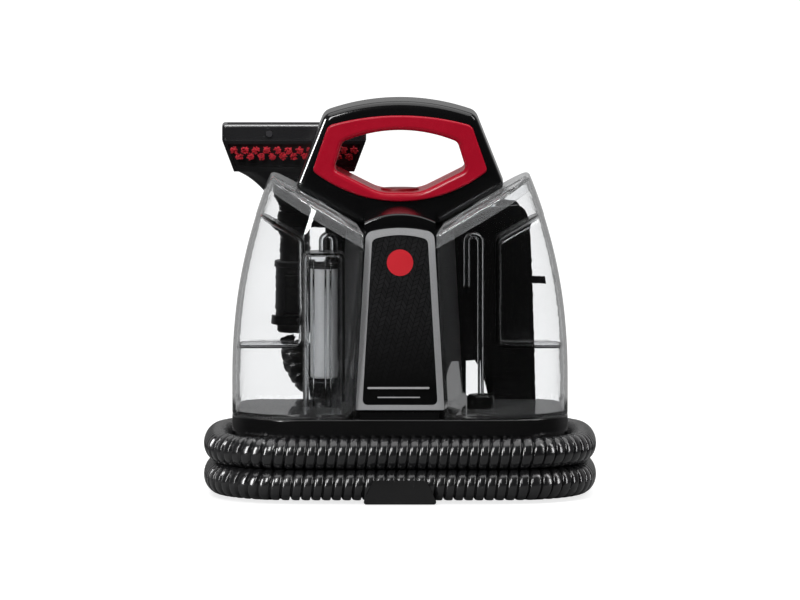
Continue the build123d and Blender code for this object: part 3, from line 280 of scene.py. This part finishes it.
class Shader:
    """A node material while it is built."""

    def __init__(self, name):
        self.material = bpy.data.materials.new(name)
        self.material.use_nodes = True
        self.tree = self.material.node_tree
        self.surface = self.tree.nodes["Principled BSDF"]
        self.place = self.add("ShaderNodeTexCoord").outputs["Object"]

    def add(self, kind, **settings):
        return add_node(self.tree, kind, **settings)

    def link(self, source, target):
        self.tree.links.new(source, target)

    def math(self, operation, *values):
        """A Math node's result: each value is a number or another node's output."""
        node = self.add("ShaderNodeMath", operation=operation)
        for socket, value in zip(node.inputs, values):
            if isinstance(value, (int, float)):
                socket.default_value = value
            else:
                self.link(value, socket)
        return node.outputs[0]

    def noise(self, scale, detail=3.0, stretch=None):
        """A noise value from 0 to 1; scale is features in a metre."""
        place = self.place
        if stretch:
            mapping = self.add("ShaderNodeMapping")
            mapping.inputs["Scale"].default_value = stretch
            self.link(place, mapping.inputs["Vector"])
            place = mapping.outputs[0]
        node = self.add("ShaderNodeTexNoise")
        node.inputs["Scale"].default_value = scale
        node.inputs["Detail"].default_value = detail
        self.link(place, node.inputs["Vector"])
        return node.outputs["Fac"]

    def remap(self, value, low, high, start=0.3, end=0.7):
        """value's stretch from start to end, spread over low to high."""
        node = self.add("ShaderNodeMapRange")
        node.inputs["From Min"].default_value = start
        node.inputs["From Max"].default_value = end
        node.inputs["To Min"].default_value = low
        node.inputs["To Max"].default_value = high
        self.link(value, node.inputs["Value"])
        return node.outputs[0]

    def blend(self, factor, first, second):
        """Colour between two colours; each is a tuple or another node's output."""
        node = self.add("ShaderNodeMix", data_type="RGBA")
        colours = [socket for socket in node.inputs if socket.type == "RGBA"]
        for socket, value in zip(colours, (first, second)):
            if isinstance(value, tuple):
                socket.default_value = (*value, 1)
            else:
                self.link(value, socket)
        self.link(factor, node.inputs["Factor"])
        return node.outputs[2]

    def bump(self, height, depth, strength=1.0):
        """Raises the surface by height times depth, in metres."""
        node = self.add("ShaderNodeBump")
        node.inputs["Distance"].default_value = depth
        node.inputs["Strength"].default_value = strength
        self.link(height, node.inputs["Height"])
        self.link(node.outputs[0], self.surface.inputs["Normal"])

    def set(self, **values):
        for key, value in values.items():
            self.surface.inputs[key.replace("_", " ")].default_value = value


def shade(colour, amount):
    return tuple(channel * amount for channel in colour)


def moulded(name, colour, roughness, grain=2200, depth=0.00002, patch=0.2, ior=PLASTIC_IOR):
    """Moulded plastic or rubber: cloudy gloss, fine grain and faint patches of tone."""
    shader = Shader(name)
    cloud = shader.noise(CLOUD_SCALE, 4)
    shader.link(
        shader.blend(shader.remap(cloud, 0, 1), shade(colour, 1 - patch), shade(colour, 1 + patch)),
        shader.surface.inputs["Base Color"],
    )
    fine = shader.noise(grain, 2)
    from_cloud = shader.remap(cloud, -CLOUD_GLOSS, CLOUD_GLOSS)
    from_grain = shader.remap(fine, -GRAIN_GLOSS, GRAIN_GLOSS)
    gloss = shader.math("ADD", shader.math("ADD", from_cloud, from_grain), 1.0)
    gloss = shader.math("MULTIPLY", gloss, roughness)
    shader.link(gloss, shader.surface.inputs["Roughness"])
    shader.bump(fine, depth)
    shader.set(IOR=ior)
    return shader


def clear(name, tint, roughness=0.012, haze=0.0, wave=0.00005, painted_edge_grey=(0.50, 0.505, 0.51)):
    """Clear moulded plastic, wavy as a moulding is; where it turns from view it is less clear and
    painted grey, as painted light and shade of its edge lines.
    """
    shader = Shader(name)
    shader.set(IOR=PLASTIC_IOR)
    facing = shader.add("ShaderNodeLayerWeight")
    facing.inputs["Blend"].default_value = 0.5
    edge = shader.remap(facing.outputs["Facing"], 0, 1, EDGE_START, EDGE_END)
    clearness = shader.remap(edge, 1.0 - haze, EDGE_CLEARNESS, 0, 1)
    shader.link(clearness, shader.surface.inputs["Transmission Weight"])
    cloud = shader.noise(TINT_SCALE, 2)
    body = shader.blend(shader.remap(cloud, 0, 1), tint, shade(tint, 0.97))
    # Painted edge light and shade: the colour goes to a flat grey where the surface turns away from
    # view.
    shader.link(shader.blend(edge, body, painted_edge_grey), shader.surface.inputs["Base Color"])
    shader.link(
        shader.remap(shader.noise(HAZE_SCALE, 3), roughness * 0.5, roughness * 2),
        shader.surface.inputs["Roughness"],
    )
    shader.bump(shader.noise(WAVE_SCALE, 1), wave, WAVE_STRENGTH)
    return shader


def silver_paint():
    """Grey paint with a fine metal flake."""
    shader = Shader("silver_trim")
    flake = shader.noise(FLAKE_SCALE, 1)
    tone = shader.blend(shader.remap(flake, 0, 1), *FLAKE_TONES)
    shader.link(tone, shader.surface.inputs["Base Color"])
    shader.link(shader.remap(flake, *FLAKE_ROUGHNESS), shader.surface.inputs["Roughness"])
    shader.bump(flake, 0.000004)
    shader.set(Metallic=0.35)
    return shader


def brushed_metal(name, colour, roughness, stretch=(1, 1, 40)):
    """Metal with fine drawn lines across the stretch."""
    shader = Shader(name)
    lines = shader.noise(DRAWN_SCALE, 4, stretch)
    shader.link(
        shader.blend(lines, shade(colour, 0.8), shade(colour, 1.1)),
        shader.surface.inputs["Base Color"],
    )
    shader.link(
        shader.remap(lines, roughness * 0.7, roughness * 1.3), shader.surface.inputs["Roughness"]
    )
    shader.bump(lines, 0.00001)
    shader.set(Metallic=1.0)
    return shader


def label_film():
    """Black film printed with slanting columns of dark grey planks that fade out below."""
    shader = Shader("label_film")
    column, plank = 0.0046, 0.0038  # a column's width, a plank's height
    rise, fall, lean = 0.55, 1.15, 0.27  # slopes of the left and right planks and of the columns
    seam_share, pair_gap, middle_gap = 0.12, 0.0004, 0.0002
    plain_below, printed_above = 0.012, 0.075  # heights from the label's foot
    ink, dark, groove = (0.020, 0.020, 0.0214), (0.0135, 0.0135, 0.0145), (0.0006, 0.0006, 0.0006)
    axes = shader.add("ShaderNodeSeparateXYZ")
    shader.link(shader.place, axes.inputs[0])
    x, z = axes.outputs["X"], axes.outputs["Z"]
    across = shader.math("MULTIPLY_ADD", z, -lean, x)
    pair = shader.math("FLOOR", shader.math("DIVIDE", across, 2 * column))
    inside = shader.math("SUBTRACT", across, shader.math("MULTIPLY", pair, 2 * column))
    first = shader.math("MINIMUM", inside, column)
    second = shader.math("MAXIMUM", shader.math("SUBTRACT", inside, column), 0.0)
    climb = shader.math(
        "SUBTRACT", shader.math("MULTIPLY", first, rise), shader.math("MULTIPLY", second, fall)
    )
    drift = shader.math("MULTIPLY", pair, (rise - fall) * column)
    height = shader.math("SUBTRACT", shader.math("SUBTRACT", z, drift), climb)
    share = shader.math("DIVIDE", height, plank)
    row = shader.math("FLOOR", share)
    part = shader.math("SUBTRACT", share, row)
    seam_gap = shader.math("LESS_THAN", part, seam_share)
    edge_first = shader.math("LESS_THAN", inside, pair_gap)
    from_middle = shader.math("ABSOLUTE", shader.math("SUBTRACT", inside, column))
    edge_second = shader.math("LESS_THAN", from_middle, middle_gap)
    gap = shader.math("MAXIMUM", seam_gap, shader.math("MAXIMUM", edge_first, edge_second))
    cell = shader.add("ShaderNodeCombineXYZ")
    shader.link(pair, cell.inputs[0])
    shader.link(row, cell.inputs[1])
    shader.link(shader.math("GREATER_THAN", inside, column), cell.inputs[2])
    tone = shader.add("ShaderNodeTexWhiteNoise")
    shader.link(cell.outputs[0], tone.inputs["Vector"])
    planks = shader.blend(tone.outputs["Value"], dark, ink)
    printed = shader.blend(gap, planks, groove)
    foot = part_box("label_panel")[0].z
    fade = shader.remap(z, 0, 1, foot + plain_below, foot + printed_above)
    shader.link(shader.blend(fade, groove, printed), shader.surface.inputs["Base Color"])
    gloss = shader.remap(shader.noise(FILM_SCALE, 2), *FILM_ROUGHNESS)
    shader.link(gloss, shader.surface.inputs["Roughness"])
    shader.bump(shader.math("SUBTRACT", 1.0, gap), 0.00001, 0.3)
    shader.set(Specular_IOR_Level=0.12)
    return shader


MATERIALS = {
    "black_gloss": moulded("black_gloss", (0.003, 0.003, 0.0032), 0.13, depth=0.000003),
    "black_satin": moulded("black_satin", (0.004, 0.004, 0.0042), 0.20, depth=0.000006),
    "wand_grey": moulded("wand_grey", (0.004, 0.004, 0.0044), 0.30, depth=0.00001),
    "tool_lip_grey": moulded("tool_lip_grey", (0.012, 0.012, 0.013), 0.2, depth=0.000006, ior=1.8),
    "silver_trim": silver_paint(),
    "label_dark": label_film(),
    "grip_red": moulded(
        "grip_red", (0.62, 0.006, 0.030), 0.27, grain=3500, depth=0.00001, patch=0.06
    ),
    "button_red": moulded("button_red", (0.30, 0.003, 0.010), 0.3, depth=0.00001, patch=0.06),
    "bristle_red": moulded("bristle_red", (0.75, 0.03, 0.055), 0.5, patch=0.12),
    "tank_clear": clear("tank_clear", (0.955, 0.96, 0.965)),
    "lid_smoke": clear("lid_smoke", (0.80, 0.81, 0.82), 0.02, haze=0.06),
    "flap_clear": clear("flap_clear", (0.92, 0.93, 0.94), 0.03),
    "inner_clear": clear("inner_clear", (0.90, 0.91, 0.92), 0.05),
    # The float's light grey is partly its own colour and partly painted light, raised to make up for
    # the light the clear tank keeps off it.
    "valve_grey": moulded("valve_grey", (0.62, 0.62, 0.625), 0.35, patch=0.06),
    "rubber_black": moulded("rubber_black", (0.010, 0.010, 0.010), 0.55),
    "hose_black": moulded(
        "hose_black", (0.006, 0.006, 0.0065), 0.2, grain=700, depth=0.000005, ior=1.65
    ),
    "duct_grey": moulded("duct_grey", (0.17, 0.17, 0.173), 0.4),
    "steel": brushed_metal("steel", (0.55, 0.55, 0.57), 0.3),
    "motor_iron": brushed_metal("motor_iron", (0.12, 0.12, 0.13), 0.45, (1, 1, 400)),
    "winding_copper": brushed_metal("winding_copper", (0.55, 0.22, 0.09), 0.35, (1, 1, 60)),
}

for node, slot in SLOT_OF.items():
    mesh = NODES[node].data
    mesh.materials.clear()
    mesh.materials.append(MATERIALS[slot].material)


def finish_piece(piece, slot, body, material=None):
    """Gives a new piece its slot's material, or the material given instead, and lets it ride on a
    CAD body.
    """
    piece.data.materials.append(material or MATERIALS[slot].material)
    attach(piece, body)
    return piece


hose.data.materials.append(MATERIALS["hose_black"].material)
wand_shell = moulded("wand_shell", (0.035, 0.035, 0.037), 0.34)
OWN_FINISH = {
    "tool_screws": MATERIALS["motor_iron"],
    "clean_valve_housing": MATERIALS["black_satin"],
    "clean_valve_poppet": MATERIALS["black_satin"],
    "wand_grip": wand_shell,
    "wand_tube": wand_shell,
}
for node, finish in OWN_FINISH.items():
    NODES[node].data.materials[0] = finish.material


# ---------------------------------------------------------------- softened edges of CAD pieces
SAME_POINT = 1e-6
SOFT_EDGES = {"front_bezel": 0.0010, "tool_lip": 0.0005}


def soften(node, width, segments=3, angle=35):
    """Rounds a CAD piece's sharp edges, as its mould does, without touching its mesh."""
    piece = NODES[node]
    weld = piece.modifiers.new("weld", "WELD")
    weld.merge_threshold = SAME_POINT
    bevel = piece.modifiers.new("bevel", "BEVEL")
    bevel.width = width
    bevel.segments = segments
    bevel.limit_method = "ANGLE"
    bevel.angle_limit = math.radians(angle)
    bevel.harden_normals = True


for node, width in SOFT_EDGES.items():
    soften(node, width)


# ---------------------------------------------------------------- brush tufts
def bristle(root, tip, root_radius, tip_radius, sides=6):
    """Corners and faces of one tapered bristle with a closed tip."""
    direction = (tip - root).normalized()
    side = direction.orthogonal().normalized()
    other = direction.cross(side)
    corners = []
    shoulder = tip - direction * tip_radius
    for centre, radius in ((root, root_radius), (shoulder, root_radius), (tip, tip_radius)):
        for step in range(sides):
            angle = 2 * math.pi * step / sides
            corners.append(centre + (side * math.cos(angle) + other * math.sin(angle)) * radius)
    faces = []
    for near in (0, sides):
        for k in range(sides):
            after = (k + 1) % sides
            faces.append((near + k, near + after, near + sides + after, near + sides + k))
    faces.append(tuple(2 * sides + k for k in range(sides)))
    return corners, faces


TUFT_ROWS = ((0.0134, 12), (0.0083, 11))  # height in the bristle box, tufts in the row
TUFT_PITCH = 0.0088
TUFT_ROOT_RADIUS = 0.0017
TUFT_TIP_RADII = (0.0026, 0.0036)
BRISTLES_PER_TUFT = 44
BRISTLE_RADII = (0.00045, 0.0003)
ROOT_DEPTH = 0.0025  # how far the roots lie in front of the bristle box's back
TIP_UNEVENNESS = 0.0014
OUTER_TIPS_SHORTER = 0.0012


def brush():
    """Two rows of red tufts that splay out of the tool's face."""
    low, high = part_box("tool_bristles")
    tool_x = (low.x + high.x) / 2
    root_y = high.y - ROOT_DEPTH
    vertices, faces = [], []
    for above_low, count in TUFT_ROWS:
        z = low.z + above_low
        for index in range(count):
            x = tool_x + (index - (count - 1) / 2) * TUFT_PITCH
            for _ in range(BRISTLES_PER_TUFT):
                angle = random.uniform(0, 2 * math.pi)
                spread = math.sqrt(random.random())
                out = Vector((math.cos(angle), 0, math.sin(angle))) * spread
                root = Vector((x, root_y, z)) + out * TUFT_ROOT_RADIUS
                reach = random.uniform(0.0, TIP_UNEVENNESS) + spread * OUTER_TIPS_SHORTER
                tip = Vector((x, low.y + reach, z)) + out * random.uniform(*TUFT_TIP_RADII)
                points, quads = bristle(root, tip, *BRISTLE_RADII)
                faces += [tuple(len(vertices) + k for k in quad) for quad in quads]
                vertices += points
    tufts = new_piece("brush_tufts", [tuple(v) for v in vertices], faces)
    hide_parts("tool_bristles")
    finish_piece(tufts, "bristle_red", "tool")


brush()


# ---------------------------------------------------------------- printed marks
LABEL_LEAN = 0.1346  # how far the label leans back, per metre of height
LABEL_NORMAL = Vector((0, -1, LABEL_LEAN)).normalized()
LABEL_FRONT = min(v.co.y - LABEL_LEAN * v.co.z for v in NODES["label_panel"].data.vertices)
INK_DEPTH = 0.00012
DISC_RADIUS, DISC_HEIGHT = 0.0105, 0.1896
UPPER_BAR = (-0.026, 0.0235, 0.0906, 0.0016)  # left, right, middle, height
LOWER_BAR = (-0.018, 0.016, 0.0832, 0.0009)


def printed_mark(name, outline, slot, material):
    """A thin closed piece of ink on the label, from its outline as x, z points."""
    count = len(outline)
    corners = []
    for height in (-INK_DEPTH, INK_DEPTH):
        for x, z in outline:
            place = Vector((x, LABEL_FRONT + LABEL_LEAN * z, z)) + LABEL_NORMAL * height
            corners.append(tuple(place))
    faces = [tuple(range(count - 1, -1, -1)), tuple(range(count, 2 * count))]
    for k in range(count):
        after = (k + 1) % count
        faces.append((k, after, count + after, count + k))
    finish_piece(new_piece(name, corners, faces, smooth=False), slot, "base", material)


def rounded_bar(left, right, middle, height):
    """Outline of a bar with round ends."""
    radius = height / 2
    outline = []
    for centre, start in ((right - radius, -90), (left + radius, 90)):
        for step in range(0, 181, 15):
            angle = math.radians(start + step)
            outline.append((centre + radius * math.cos(angle), middle + radius * math.sin(angle)))
    return outline


disc = circle(DISC_RADIUS, (0, DISC_HEIGHT))
red_ink = moulded("red_ink", (0.85, 0.012, 0.028), 0.4, depth=0.000004, patch=0.04).material
pale_ink = moulded("pale_ink", (0.55, 0.55, 0.56), 0.4, depth=0.000004, patch=0.04).material
printed_mark("label_disc", disc, "button_red", red_ink)
printed_mark("label_bar_upper", rounded_bar(*UPPER_BAR), "silver_trim", pale_ink)
printed_mark("label_bar_lower", rounded_bar(*LOWER_BAR), "silver_trim", pale_ink)


# ---------------------------------------------------------------- ribs and beads of the tanks
ROD_RADIUS = 0.0008
RIBS_FROM_LEFT = (0.004, 0.0085)
RIBS_FROM_RIGHT = (0.0155, 0.0115)
RIB_FOOT, RIB_HEAD = 0.001, 0.005  # gaps at the ribs' ends
LID_SLOPE = math.radians(30)
LID_INNER = Vector((0.031, 0, 0.214))
LID_BEADS = (  # y, start and end along the slope
    (-0.0585, 0.004, 0.050),
    (-0.0475, 0.004, 0.070),
    (-0.0115, 0.004, 0.080),
)


def rods(name, lines, slot, body, sides=12):
    """One piece of straight round rods with closed ends, from their end points."""
    vertices, faces = [], []
    for start, end in lines:
        base = len(vertices)
        direction = (end - start).normalized()
        side = direction.orthogonal().normalized()
        other = direction.cross(side)
        for centre in (start, end):
            for step in range(sides):
                angle = 2 * math.pi * step / sides
                around = side * math.cos(angle) + other * math.sin(angle)
                vertices.append(tuple(centre + around * ROD_RADIUS))
        for k in range(sides):
            after = (k + 1) % sides
            faces.append((base + k, base + after, base + sides + after, base + sides + k))
        faces.append(tuple(base + k for k in range(sides - 1, -1, -1)))
        faces.append(tuple(base + sides + k for k in range(sides)))
    finish_piece(new_piece(name, vertices, faces), slot, body)


def cage_ribs():
    """Clear upright ribs down the front of the recovery stack."""
    low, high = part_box("recovery_stack")
    places = [low.x + gap for gap in RIBS_FROM_LEFT] + [high.x - gap for gap in RIBS_FROM_RIGHT]
    lines = []
    for x in places:
        lines.append((Vector((x, low.y, low.z + RIB_FOOT)), Vector((x, low.y, high.z - RIB_HEAD))))
    rods("cage_ribs", lines, "inner_clear", "recovery_tank")


def lid_beads(name, body, side):
    """Raised beads that run up a lid's slope, clear of its flap."""
    origin = Vector((LID_INNER.x * side, 0, LID_INNER.z))
    along = Vector((math.cos(LID_SLOPE) * side, 0, math.sin(LID_SLOPE)))
    lines = []
    for y, start, end in LID_BEADS:
        base = origin + Vector((0, y, 0))
        lines.append((base + along * start, base + along * end))
    rods(name, lines, "lid_smoke", body)


cage_ribs()
lid_beads("clean_lid_beads", "clean_tank", 1)
lid_beads("recovery_lid_beads", "recovery_tank", -1)


# ---------------------------------------------------------------- floor, light and background
MIDDLE = (0, 0, 0.15)
FLOOR_RADIUS = 0.75
FLOOR_GLOW = 0.8  # emission where the floor is seen straight
FLOOR_SEEN, FLOOR_NEAR, FLOOR_FAR = 0.45, 0.3, 0.03  # albedo seen straight, and in reflections
NEAR_RADIUS, FAR_RADIUS = 0.22, 0.42
BACKDROP, WALL_DARK, WALL_PALE = 1.15, 0.015, 0.32  # world strengths
WALL_STRETCH = (0.1, 0.9)  # of the direction's Y, where the world goes from dark to pale
OVERHEAD_POWER, OVERHEAD_SPREAD = 2.0, math.radians(70)


def seen_straight(tree):
    """1 for what the camera sees itself or through clear plastic, 0 for what is reflected."""
    ray = add_node(tree, "ShaderNodeLightPath")
    bounces = add_node(tree, "ShaderNodeMath", operation="ADD")
    tree.links.new(ray.outputs["Glossy Depth"], bounces.inputs[0])
    tree.links.new(ray.outputs["Diffuse Depth"], bounces.inputs[1])
    straight = add_node(tree, "ShaderNodeMath", operation="LESS_THAN")
    tree.links.new(bounces.outputs[0], straight.inputs[0])
    straight.inputs[1].default_value = 0.5
    return straight.outputs[0]


def smooth_range(tree, value, source, result):
    """value's stretch over source, spread smoothly over result."""
    node = add_node(tree, "ShaderNodeMapRange", interpolation_type="SMOOTHSTEP")
    for socket, number in zip(("From Min", "From Max", "To Min", "To Max"), (*source, *result)):
        node.inputs[socket].default_value = number
    tree.links.new(value, node.inputs["Value"])
    return node.outputs[0]


def reflected_or_seen(tree, reflected, seen):
    """The output reflected for reflected rays, the number seen for straight ones."""
    node = add_node(tree, "ShaderNodeMix", data_type="FLOAT")
    tree.links.new(seen_straight(tree), node.inputs["Factor"])
    tree.links.new(reflected, node.inputs[2])
    node.inputs[3].default_value = seen
    return node.outputs[0]


def make_floor():
    """A round pale floor that fades into the white backdrop."""
    corners = [(x, y, 0) for x, y in circle(FLOOR_RADIUS)]
    floor = new_piece("floor", corners, [tuple(range(len(corners)))], smooth=False)
    material = bpy.data.materials.new("floor")
    material.use_nodes = True
    tree = material.node_tree
    surface = tree.nodes["Principled BSDF"]
    position = add_node(tree, "ShaderNodeNewGeometry").outputs["Position"]
    reach = add_node(tree, "ShaderNodeVectorMath", operation="LENGTH")
    tree.links.new(position, reach.inputs[0])
    distance = reach.outputs["Value"]
    near = smooth_range(tree, distance, (NEAR_RADIUS, FAR_RADIUS), (FLOOR_NEAR, FLOOR_FAR))
    tree.links.new(reflected_or_seen(tree, near, FLOOR_SEEN), surface.inputs["Base Color"])
    surface.inputs["Roughness"].default_value = 0.9
    surface.inputs["Specular IOR Level"].default_value = 0.1
    surface.inputs["Emission Color"].default_value = (1, 1, 1, 1)
    glow = add_node(tree, "ShaderNodeMath", operation="MULTIPLY")
    tree.links.new(seen_straight(tree), glow.inputs[0])
    glow.inputs[1].default_value = FLOOR_GLOW
    tree.links.new(glow.outputs[0], surface.inputs["Emission Strength"])
    floor.data.materials.append(material)


def place_light(name, data, place, target):
    """Puts a light at place, turned to target."""
    light = bpy.data.objects.new(name, data)
    bpy.context.scene.collection.objects.link(light)
    light.location = place
    light.rotation_euler = (Vector(target) - Vector(place)).to_track_quat("-Z", "Y").to_euler()
    return light


def named_collection(name, pieces):
    """A collection of pieces, for a light to shine on or be stopped by."""
    collection = bpy.data.collections.new(name)
    for piece in pieces:
        collection.objects.link(piece)
    return collection


def softbox(name, place, target, size, power, lit, stopped_by):
    """A rectangular soft light. Empty lit or stopped_by means every piece."""
    data = bpy.data.lights.new(name, "AREA")
    data.shape = "RECTANGLE"
    data.size, data.size_y = size
    data.energy = power
    light = place_light(name, data, place, target)
    if lit:
        light.light_linking.receiver_collection = named_collection(name + "_lit", lit)
    if stopped_by:
        light.light_linking.blocker_collection = named_collection(name + "_stops", stopped_by)


def make_world():
    """White where it is seen straight; in reflections a dark studio with a pale wall behind."""
    world = bpy.data.worlds.new("studio")
    bpy.context.scene.world = world
    world.use_nodes = True
    tree = world.node_tree
    background = tree.nodes["Background"]
    direction = add_node(tree, "ShaderNodeTexCoord")
    axes = add_node(tree, "ShaderNodeSeparateXYZ")
    tree.links.new(direction.outputs["Generated"], axes.inputs[0])
    wall = smooth_range(tree, axes.outputs["Y"], WALL_STRETCH, (WALL_DARK, WALL_PALE))
    tree.links.new(reflected_or_seen(tree, wall, BACKDROP), background.inputs["Strength"])
    background.inputs["Color"].default_value = (1, 1, 1, 1)


make_floor()
make_world()
LEFT_HOSE, RIGHT_HOSE = (-0.1, 0, 0.03), (0.1, 0, 0.03)
HANDLE_MIDDLE = (0, 0, 0.28)
TANK_MIDDLE = (-0.06, 0, 0.12)
hose_pieces = [hose, NODES["hose_cradle"]]
handle_pieces = [NODES["handle_front_shell"], NODES["handle_rear_shell"]]
top_pieces = [
    NODES[node]
    for node in ("tool_lip", "tool_body", "front_bezel", "clean_tank_lid", "recovery_tank_lid")
]
inside_tank = [
    NODES[node] for node in ("float_body", "float_seal", "recovery_elbow", "recovery_stack")
]
inside_tank.append(bpy.data.objects["cage_ribs"])
tower = [NODES["front_cover"], NODES["rear_housing"]]
SOFTBOXES = (  # name, place, target, size, power, lit pieces, pieces that stop it
    ("key_light", (-0.7, -1.7, 1.35), MIDDLE, (0.3, 1.0), 22, (), ()),
    ("left_strip", (-1.5, -1.0, 0.6), LEFT_HOSE, (0.3, 1.3), 34, hose_pieces, ()),
    ("right_strip", (1.6, -0.6, 0.5), RIGHT_HOSE, (0.3, 0.9), 12, hose_pieces, ()),
    ("right_high", (1.3, -0.3, 1.4), MIDDLE, (0.35, 0.8), 7, (), ()),
    ("handle_strip", (-1.5, -0.3, 0.86), HANDLE_MIDDLE, (0.5, 0.5), 40, handle_pieces, ()),
    ("top_strip", (0, -0.5, 1.7), MIDDLE, (1.4, 0.35), 30, top_pieces, ()),
    ("tank_light", (-0.9, -1.5, 0.7), TANK_MIDDLE, (0.25, 0.9), 10, inside_tank, tower),
)
for row in SOFTBOXES:
    softbox(*row)
overhead = bpy.data.lights.new("overhead", "SUN")
overhead.energy = OVERHEAD_POWER
overhead.angle = OVERHEAD_SPREAD
place_light("overhead", overhead, (0, 0.3, 3), MIDDLE)
bpy.context.scene.view_settings.view_transform = "Standard"
